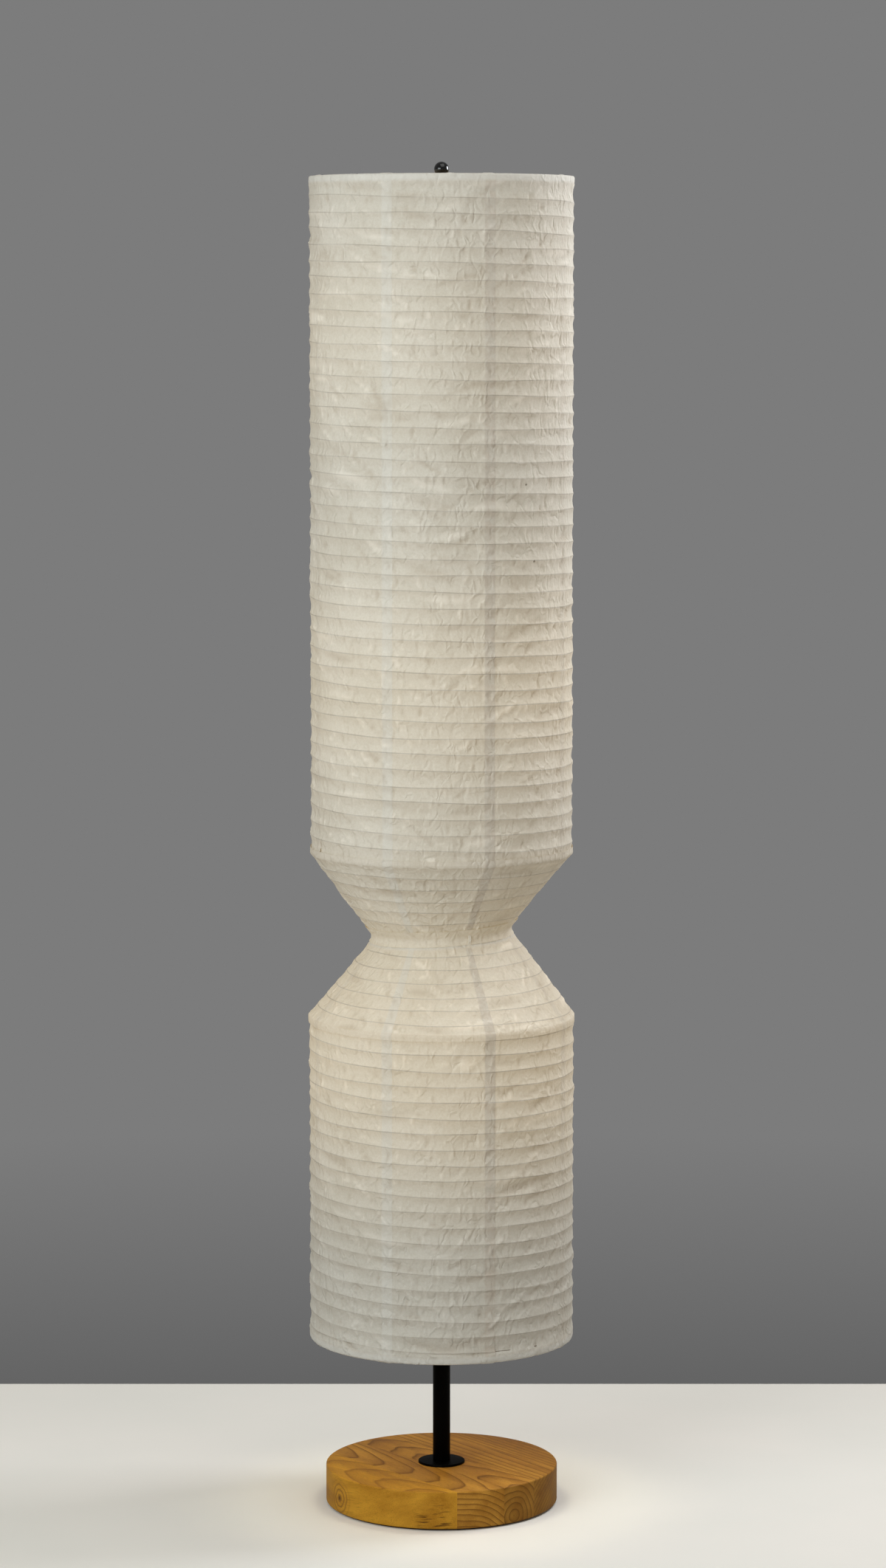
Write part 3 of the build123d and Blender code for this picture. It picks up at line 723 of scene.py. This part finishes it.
def paper_gore(line, number, ribs, hoop, heights, gore, lapped):
    """One gore, wrapped from a flat grid: creased, puckered at its seams and drawn in between the ribs."""
    length = straight(line, number)[2]
    radius = max(point[0] for point in line)
    seam = SEAM - math.pi + gore * 2 * math.pi / GORES
    next_seam = seam + 2 * math.pi / GORES
    angle = np.linspace(seam - SEAM_LAP / 2, next_seam + SEAM_LAP / 2, GORE_COLUMNS + 1)
    distance, share, sag, rib_distance = gore_rows(line, number, angle, *ribs, hoop, lapped)

    point, normal = on_line(line, number, distance, hoop)
    along = (number * straight(line, 0)[2] + distance) * MILLIMETRES
    around = np.broadcast_to(angle, distance.shape) * radius * MILLIMETRES
    bulge = 4 * share * (1 - share)
    crease = height_at(heights, around, along)
    crease *= CREASE_AT_RIB + (1 - CREASE_AT_RIB) * np.sqrt(bulge)
    onto_lap = angle - angle[-1] + SEAM_LAP
    over = np.clip(onto_lap / LAP_START + 1, 0, 1)
    over *= np.clip((angle[-1] - angle) / LAP_END, 0, 1 - LAP_EDGE) + LAP_EDGE
    edge = np.minimum(np.abs(angle - seam), np.abs(angle - next_seam)) * radius
    pace, sway, sway_pace = PUCKER_WAVES
    waves = np.sin(along * pace + sway * np.sin(along * sway_pace))
    pucker = PUCKER * np.exp(-((edge / PUCKER_REACH) ** 2)) * waves
    past_knee = distance > length if number == 0 else distance < 0
    lift = crease + pucker - sag * bulge + LAP_LIFT * over + KNEE_LIFT * past_knee
    point = point + lift[..., None] * normal
    across = point[..., 0] * np.cos(angle)
    height = point[..., 1] + tilt(line, number, distance) * across
    places = np.stack((across, point[..., 0] * np.sin(angle), height), axis=-1)

    hemmed = distance < HEM if number == 0 else distance > length - HEM
    lap_tone = np.where(hemmed, HEM_TONE, SEAM_TONES[gore] * np.clip(onto_lap / TONE_START, 0, 1))
    return sheet_of(places, rib_distance=rib_distance, seam_lap=lap_tone, crease=crease, bay=share)


def papered(sheet, name):
    """Gives a sheet its name and the paper's thickness."""
    settle(sheet, name)
    applied(sheet, "SOLIDIFY", thickness=PAPER, offset=-1)
    sharpened(sheet, 60)
    return sheet


def paper_panel(name, line, number, ribs, hoop, heights, gores, lapped):
    """Gores of one panel of a lantern, pasted together."""
    sheets = [paper_gore(line, number, ribs, hoop, heights, gore, lapped) for gore in gores]
    bpy.ops.object.select_all(action="DESELECT")
    for sheet in sheets:
        sheet.select_set(True)
    bpy.context.view_layer.objects.active = sheets[0]
    bpy.ops.object.join()
    return papered(sheets[0], name)


# The paper's colour: cloudy pulp, paler or darker where it lies double, painted shade in the valleys of its
# creases and painted highlights on their crests, painted shade in the upper part of each bay, a thin dark line
# along the wire that is partly painted shadow, and specked in two places.
CREASE_DEPTH = 0.0012
CREST_FROM = 0.0002
STROKE = (0.0001, 0.0009)
SPECKS = ((0.0894, -0.110, 1.123), (0.098, -0.1028, 1.042))
SPECK_RADIUS = 0.0009

lantern_paper, tree, shader = finish("paper", 0.82, Emission_Strength=1.0, Specular_IOR_Level=0.3)
place = node(tree, "TexCoord").outputs["Object"]
rib_distance, crease, seam_lap, bay = (
    node(tree, "Attribute", attribute_name=mark).outputs["Fac"]
    for mark in ("rib_distance", "crease", "seam_lap", "bay")
)
colour = graded(tree, grain(tree, 14, 4, 0.6), (0.3, tint(207, 204, 195)), (0.7, tint(217, 215, 208)))
pulp = grain(tree, 420, 6, 0.75)
fibres = graded(tree, pulp, (0.3, tint(240, 238, 234)), (0.65, tint(255, 255, 255)))
colour = mixed(tree, 1.0, colour, fibres, "MULTIPLY")
colour = mixed(tree, ranged(tree, seam_lap, -1, 0, 0.6, 0), colour, tint(226, 227, 223))
pasted = ranged(tree, grain(tree, 110, 3, 0.6), 0.36, 0.62, 0.25, 1)
doubled = ranged(tree, seam_lap, 0, 1, 0, 0.28)
colour = mixed(tree, product(tree, doubled, pasted), colour, tint(178, 150, 126))
# Painted shade in the valleys of the creases, and painted highlights on their crests.
colour = mixed(tree, ranged(tree, crease, -CREASE_DEPTH, 0, 0.36, 0), colour, tint(172, 158, 140))
colour = mixed(tree, ranged(tree, crease, CREST_FROM, CREASE_DEPTH, 0, 0.45), colour, tint(238, 235, 228))
# Painted shade: the upper part of each bay, where the paper faces down, is darkened and tinted pink.
painted_bay_shade = worked(tree, "MULTIPLY_ADD", grain(tree, 46, 3), 0.5, bay)
colour = mixed(tree, ranged(tree, painted_bay_shade, 0.5, 0.8, 0.12, 0), colour, tint(188, 172, 157))
# A thin dark line along the wire: the wire showing through the paper, and painted shadow.
wire_line_and_shadow = faded(tree, rib_distance, *STROKE, 1)
patchy = ranged(tree, grain(tree, 22, 2), 0.35, 0.65, 0.06, 0.34)
colour = mixed(tree, product(tree, wire_line_and_shadow, patchy), colour, tint(112, 96, 78))
for speck in SPECKS:
    specked = ranged(tree, away_from(tree, place, speck), SPECK_RADIUS, 2 * SPECK_RADIUS, 0.8, 0)
    colour = mixed(tree, specked, colour, tint(60, 54, 46))

# Light that comes through from the bulbs: warm, spread about by the white inside of the lantern,
# stopped by the wire, and dimmed where the paper lies double.
BACK_LIGHT = 0.02
GLOW_REACH = 0.031
GLOW_SPREAD = 0.27
GLOW = {"lower": 0.4, "middle": 0.28, "upper": 0.15}
BRIGHTEST = (0.36, 0.245, 0.1, 1)

height = node(tree, "SeparateXYZ", place).outputs["Z"]
glow = BACK_LIGHT
for floor in FLOORS:
    low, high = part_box(f"{floor}_bulb_glass")
    lamp = ((low.x + high.x) / 2, 0, high.z - CROWN)
    nearness = worked(tree, "DIVIDE", GLOW_REACH, away_from(tree, place, lamp))
    glow = worked(tree, "MULTIPLY_ADD", nearness, nearness, glow)
    above = worked(tree, "ABSOLUTE", worked(tree, "SUBTRACT", height, lamp[2]))
    glow = worked(tree, "ADD", glow, faded(tree, above, 0, GLOW_SPREAD, GLOW[floor]))
past_wire = ranged(tree, wire_line_and_shadow, 0, 1, 1, 0.5)
past_lap = ranged(tree, worked(tree, "ABSOLUTE", seam_lap), 0, 1, 1, 0.4)
past_fold = ranged(tree, crease, -CREASE_DEPTH, CREASE_DEPTH, 0.8, 1.15)
glow = product(tree, glow, past_wire, past_lap, past_fold)
feed(shader, Base_Color=colour, Emission_Color=graded(tree, glow, (0, (0, 0, 0, 1)), (1, BRIGHTEST)))

# Fine crumple: a net of small ridges and dents, taller than wide, over the pulp's own roughness.
STRAY = (0.016, 0.016, 0.016)
upright = node(tree, "Mapping", place, None, None, (1, 1, 0.55)).outputs["Vector"]
strayed = node(tree, "TexNoise", place, None, 45, 2).outputs["Color"]
upright = node(tree, "VectorMath", strayed, STRAY, upright, operation="MULTIPLY_ADD").outputs["Vector"]
to_ridge = node(tree, "TexVoronoi", upright, None, 100, feature="DISTANCE_TO_EDGE").outputs["Distance"]
up_or_down = ranged(tree, grain(tree, 36, 2), 0.38, 0.62, -2, 2)
crumple = product(tree, ranged(tree, to_ridge, 0, 0.2, 1, 0), up_or_down)
relief = worked(tree, "ADD", worked(tree, "ADD", pulp, grain(tree, 90, 4, 0.6)), crumple)
embossed(shader, relief, 0.65, 0.0006)

upper_folds = folds(2 * math.pi * UPPER_LINE[0][0], UPPER_RUN, UPPER_SEED)
top_hoop = np.array((UPPER_LINE[0][0] - HOOP_INSET, UPPER_LINE[0][1] - HOOP_WIRE / 2))
waist_hoop = np.array((UPPER_LINE[2][0] - HOOP_INSET, UPPER_LINE[2][1] + HOOP_WIRE / 2))
for quarter in range(1, 5):
    gores = (2 * quarter - 1, 2 * quarter % GORES)
    name = f"upper_column_{quarter}"
    panel = paper_panel(name, UPPER_LINE, 0, UPPER_RIBS, top_hoop, upper_folds, gores, False)
    fitted(panel, lantern_paper, "stand", "paper", "upper_column_paper")
panel = paper_panel("upper_cone", UPPER_LINE, 1, UPPER_RIBS, waist_hoop, upper_folds, range(GORES), True)
fitted(panel, lantern_paper, "stand", "paper", "upper_cone_paper")


# Lower lantern: the same paper and pasted seams, with the cone above and the short column below.
# On the real lamp its foot can be lifted, and the whole lantern then folds up like a bellows towards the
# waist;
# here it is built hanging open.
LOWER_LINE = ((0.0755, 0.630), (0.1443, 0.543), (0.1443, 0.187))
LOWER_RIBS = (0.0157, 0.0169)
LOWER_RUN = 0.48
LOWER_SEED = 23

lower_folds = folds(2 * math.pi * LOWER_LINE[1][0], LOWER_RUN, LOWER_SEED)
lower_hoop = np.array((LOWER_LINE[0][0] - HOOP_INSET, LOWER_LINE[0][1] - HOOP_WIRE / 2))
bottom_hoop = np.array((LOWER_LINE[2][0] - HOOP_INSET, LOWER_LINE[2][1] + HOOP_WIRE / 2))
panel = paper_panel("lower_cone", LOWER_LINE, 0, LOWER_RIBS, lower_hoop, lower_folds, range(GORES), True)
fitted(panel, lantern_paper, "stand", "paper", "lower_cone_paper")
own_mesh(panel)
for quarter in range(1, 5):
    gores = (2 * quarter - 1, 2 * quarter % GORES)
    name = f"lower_column_{quarter}"
    panel = paper_panel(name, LOWER_LINE, 1, LOWER_RIBS, bottom_hoop, lower_folds, gores, False)
    fitted(panel, lantern_paper, "stand", "paper", "lower_column_paper")
    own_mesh(panel)


# Rib wires: one unbroken 1 mm wire in each lantern, wound left-handed from the top hem to the bottom one.
# The paper is pasted to it, so it lies just inside the paper's ridges.
RIB_WIRE = 0.001
RIB_DEPTH = 0.0013
POINTS_A_TURN = 48

wire_steel, tree, shader = finish("rib_wire", 0.5, Metallic=0.7)
rusty = grain(tree, 260, 4, 0.65)
feed(
    shader, Base_Color=graded(tree, rusty, (0.4, tint(150, 138, 120)), (0.75, tint(104, 84, 62))),
    Roughness=ranged(tree, rusty, 0.3, 0.7, 0.42, 0.65),
)


def drawn(name, runs, thickness, closed=False):
    """Round wire or thread through runs of points, made a mesh."""
    curve = bpy.data.curves.new(name, "CURVE")
    curve.dimensions = "3D"
    curve.bevel_depth = thickness / 2
    curve.bevel_resolution = 1
    curve.use_fill_caps = True
    for run in runs:
        spline = curve.splines.new("POLY")
        spline.points.add(len(run) - 1)
        spline.points.foreach_set("co", np.column_stack((run, np.ones(len(run)))).ravel())
        spline.use_cyclic_u = closed
    wire = bpy.data.objects.new(name, curve)
    bpy.context.scene.collection.objects.link(wire)
    alone(wire)
    bpy.ops.object.convert(target="MESH")
    wire = settle(bpy.context.object, name)
    sharpened(wire, 60)
    return wire


def rib_wire(name, line, first, pitch):
    """The wound wire of one lantern."""
    lengths = [straight(line, number)[2] for number in (0, 1)]
    turns = [(place - first) / pitch for place in (HEM + RIB_WIRE, sum(lengths) - HEM - RIB_WIRE)]
    wound = np.linspace(*turns, round((turns[1] - turns[0]) * POINTS_A_TURN))
    distance = first + pitch * wound + wander(wound)
    places = np.empty((len(wound), 2))
    angle = FRONT + 2 * math.pi * wound
    for number, inside in ((0, distance < lengths[0]), (1, distance >= lengths[0])):
        start, step, _, outward = straight(line, number)
        along = distance[inside] - number * lengths[0]
        places[inside] = start + along[:, None] * step - RIB_DEPTH * outward
        places[inside, 1] += tilt(line, number, along) * places[inside, 0] * np.cos(angle[inside])
    points = np.column_stack((places[:, 0] * np.cos(angle), places[:, 0] * np.sin(angle), places[:, 1]))
    return drawn(name, [points], RIB_WIRE)


wire = rib_wire("upper_wire", UPPER_LINE, *UPPER_RIBS)
fitted(wire, wire_steel, "stand", "rib_wire", "upper_rib_wire")
wire = rib_wire("lower_wire", LOWER_LINE, *LOWER_RIBS)
fitted(wire, wire_steel, "stand", "rib_wire", "lower_rib_wire")
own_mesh(wire)


# Waist: a strip of the same paper, crumpled by hand, is pasted round the hems where the two lanterns meet,
# and a white thread, knotted at the front, is sewn through both hems to hold them together.
STRIP = np.array((
    (0.0823, 0.6441), (0.0772, 0.6377), (0.0758, 0.6352),
    (0.0753, 0.6327), (0.0758, 0.6302), (0.0777, 0.6273),
))
STRIP_STAND = 0.0009
STRIP_ROWS = 16
STRIP_COLUMNS = 380
STRIP_LAP = 0.06
STRIP_SEED = 37
STRIP_CALM = 0.8
STRIP_RIPPLE = 0.00018
STRIP_LEAN = (0.9, 1, 1, 0.97)
WAIST_RADIUS = UPPER_LINE[2][0]

along = np.concatenate(([0], np.cumsum(np.hypot(*np.diff(STRIP, axis=0).T))))
distance = np.linspace(0, along[-1], STRIP_ROWS + 1)
radius = np.interp(distance, along, STRIP[:, 0]) + STRIP_STAND
height = np.interp(distance, along, STRIP[:, 1])
lean = WAIST_TILT * np.interp(distance, along[[0, 2, 4, 5]], STRIP_LEAN)
angle = np.linspace(math.pi / 2, 2.5 * math.pi + STRIP_LAP, STRIP_COLUMNS + 1)
strip_folds = folds(2 * math.pi * WAIST_RADIUS, along[-1], STRIP_SEED, STRIP_CALM)
column, row = np.meshgrid(angle * WAIST_RADIUS * MILLIMETRES, distance * MILLIMETRES)
crease = height_at(strip_folds, column, row) + STRIP_RIPPLE * np.sin(47 * angle + 5 * np.sin(7 * angle))
inner_end = np.clip((angle - angle[-1]) / STRIP_LAP + 1, 0, 1)
reach = radius[:, None] + crease + 2 * PAPER * inner_end
across = reach * np.cos(angle)
places = np.stack((across, reach * np.sin(angle), height[:, None] + lean[:, None] * across), axis=-1)
crease = crease[::-1]
strip = sheet_of(places[::-1], rib_distance=0 * crease + NO_RIB, crease=crease, bay=0 * crease + 0.5)
papered(strip, "waist_strip")
fitted(strip, lantern_paper, "stand", "paper")

THREAD = 0.0008
TIE_ANGLE = math.radians(-67.4)
TIE_MIDDLE = (0.0749, 0.6328)
TIE_LOOP = (0.0038, 0.0070)
TIE_STITCHES = (-0.0011, 0, 0.0011)
TIE_KNOT = 0.0005
TIE_POINTS = 32

cotton, tree, shader = finish("cotton_thread", 0.9, Sheen_Weight=0.3)
fluff = grain(tree, 1600, 4, 0.7)
feed(shader, Base_Color=graded(tree, fluff, (0.3, tint(228, 220, 204)), (0.7, tint(250, 246, 238))))
embossed(shader, fluff, 0.5, 0.0003)

turn = np.linspace(0, 2 * math.pi, TIE_POINTS, endpoint=False)
runs = [
    (TIE_MIDDLE[0] + TIE_LOOP[0] * np.cos(turn), aside + 0 * turn, TIE_LOOP[1] * np.sin(turn))
    for aside in TIE_STITCHES
]
overhand = (
    TIE_MIDDLE[0] + TIE_LOOP[0] + THREAD - TIE_KNOT * np.sin(3 * turn),
    TIE_KNOT * (np.sin(turn) + 2 * np.sin(2 * turn)),
    TIE_KNOT * (np.cos(turn) - 2 * np.cos(2 * turn)),
)
middle = TIE_MIDDLE[1] + WAIST_TILT * TIE_MIDDLE[0] * math.cos(TIE_ANGLE)
threads = []
for out, aside, up in (*runs, overhand):
    threads.append(np.column_stack((
        out * math.cos(TIE_ANGLE) - aside * math.sin(TIE_ANGLE),
        out * math.sin(TIE_ANGLE) + aside * math.cos(TIE_ANGLE),
        middle + up,
    )))
tie = drawn("waist_tie", threads, THREAD, True)
fitted(tie, cotton, "stand", "paper")


# Hoops and spiders: 3 mm wire dipped white, welded; the top spider hangs the shade from the pole's head,
# and the bottom one slides on the pole.
white_wire, tree, shader = finish("white_wire", 0.45)
dip = grain(tree, 70, 4, 0.6)
feed(
    shader, Base_Color=graded(tree, dip, (0.3, tint(206, 203, 194)), (0.7, tint(226, 224, 217))),
    Roughness=ranged(tree, dip, 0.3, 0.7, 0.36, 0.52),
)
embossed(shader, grain(tree, 900, 2), 0.1, 0.0002)
dress(white_wire, "top_hoop", "upper_waist_hoop", "lower_waist_hoop", "bottom_hoop")
dress(white_wire, "top_spider", "bottom_spider")
dress(zinc, "pole_top_stud")


# Finial: a 16 mm ball on a short neck and foot, turned in one piece and enamelled gloss black.
# It is bored to screw down on the stud at the pole's head, and so it holds the top spider.
BALL = 0.008
NECK_RADIUS = 0.0046
NECK_FILLET = 0.0004
FOOT_RADIUS = 0.006
FOOT_HEIGHT = 0.0016
FOOT_EDGE = 0.0003
STUD_BORE = 0.0031

enamel, tree, shader = finish("gloss_black", 0.1, Coat_Weight=0.6, Coat_Roughness=0.04)
haze = grain(tree, 160, 4, 0.6)
feed(
    shader, Base_Color=graded(tree, haze, (0.4, tint(4, 4, 4)), (0.85, tint(12, 12, 12))),
    Roughness=ranged(tree, haze, 0.3, 0.7, 0.08, 0.16),
)

low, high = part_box("finial")
centre = high.z - BALL
foot_top = low.z + FOOT_HEIGHT
outline = [(STUD_BORE, low.z), (FOOT_RADIUS - FOOT_EDGE, low.z), (FOOT_RADIUS, low.z + FOOT_EDGE)]
outline += [(FOOT_RADIUS, foot_top - FOOT_EDGE), (FOOT_RADIUS - FOOT_EDGE, foot_top)]
outline += [(NECK_RADIUS + NECK_FILLET, foot_top), (NECK_RADIUS, foot_top + NECK_FILLET)]
outline += arc((0, centre), BALL, -math.degrees(math.acos(NECK_RADIUS / BALL)), 90, 40)
outline += [(0, centre), (STUD_BORE, centre)]
finial = spun("ball_finial", outline, 96, 35)
fitted(finial, enamel, "finial", "gloss_black", "finial")


# Stage: a pale table top and a grey backdrop, a broad soft key light from the left at the lantern's height,
# one overhead, a small rim light from the right, the light that falls out of the lantern's open foot,
# and the camera.
FLOOR_SIZE = (1.7, 1.05, 1)
FLOOR_BOUNCE = tint(182, 180, 174)
WALL_FROM, WALL_TO = -0.24, -0.187
AMBIENT = (1, 0.936, 0.84, 1)
AMBIENT_STRENGTH = 0.392

bpy.ops.mesh.primitive_plane_add(size=1)
bpy.context.object.scale = FLOOR_SIZE
floor_sheet = settle(bpy.context.object, "floor")
pale, tree, shader = finish("pale_floor", 0.9, Specular_IOR_Level=0.1)
mottled = graded(tree, grain(tree, 3, 3), (0.3, tint(246, 246, 242)), (0.7, tint(252, 250, 246)))
seen = node(tree, "LightPath").outputs["Is Camera Ray"]
feed(shader, Base_Color=mixed(tree, seen, FLOOR_BOUNCE, mottled))
floor_sheet.data.materials.append(pale)

world = bpy.data.worlds.new("studio")
bpy.context.scene.world = world
world.use_nodes = True
tree = world.node_tree
tree.nodes.clear()
direction = node(tree, "SeparateXYZ", node(tree, "TexCoord").outputs["Generated"]).outputs["Z"]
rise = ranged(tree, direction, WALL_FROM, WALL_TO, 0, 1)
wall = graded(tree, rise, (0, tint(100, 100, 100)), (1, tint(124, 124, 124)))
backdrop = node(tree, "Background", wall, 1.0).outputs[0]
ambient = node(tree, "Background", AMBIENT, AMBIENT_STRENGTH).outputs[0]
path = node(tree, "LightPath").outputs
shown = worked(tree, "MAXIMUM", path["Is Camera Ray"], path["Is Glossy Ray"])
shown = worked(tree, "MAXIMUM", shown, path["Is Transmission Ray"])
surface = node(tree, "MixShader", shown, ambient, backdrop).outputs[0]
give(node(tree, "OutputWorld").inputs["Surface"], surface)

# Lights: name, place, the point each faces, size, watts and colour.
LIGHTS = (
    ("key", (-1.117, -1.537, 1.35), (0, 0, 1.5), 1.4, 20.5, (0.92, 0.99, 1.0)),
    ("overhead", (0.5, -1.0, 3.4), (0, 0, 0.2), 2.0, 12, (1, 0.99, 0.97)),
    ("rim", (1.12, 0.37, 1.65), (0, 0, 1.0), 0.6, 12, (0.95, 0.97, 1.0)),
    ("foot_glow", (0, 0, 0.4), (0, 0, 0), 0.12, 0.31, (1, 0.9, 0.64)),
)
for name, place, aim, size, watts, colour in LIGHTS:
    lamp = bpy.data.lights.new(name, "AREA")
    lamp.size = size
    lamp.energy = watts
    lamp.color = colour
    light = bpy.data.objects.new(name, lamp)
    bpy.context.scene.collection.objects.link(light)
    light.location = place
    light.visible_camera = False
    right, ahead, up = np.array(aim) - np.array(place)
    light.rotation_euler = (math.atan2(np.hypot(right, ahead), -up), 0, math.atan2(-right, ahead))

CAMERA_PLACE = (0.0016, -4.80042, 1.32263)
CAMERA_TILT = math.radians(83.721)
LENS = 102.29
camera = bpy.data.objects.new("camera", bpy.data.cameras.new("camera"))
bpy.context.scene.collection.objects.link(camera)
camera.location = CAMERA_PLACE
camera.rotation_euler = (CAMERA_TILT, 0, 0)
camera.data.lens = LENS
camera.data.sensor_width = 36
bpy.context.scene.camera = camera
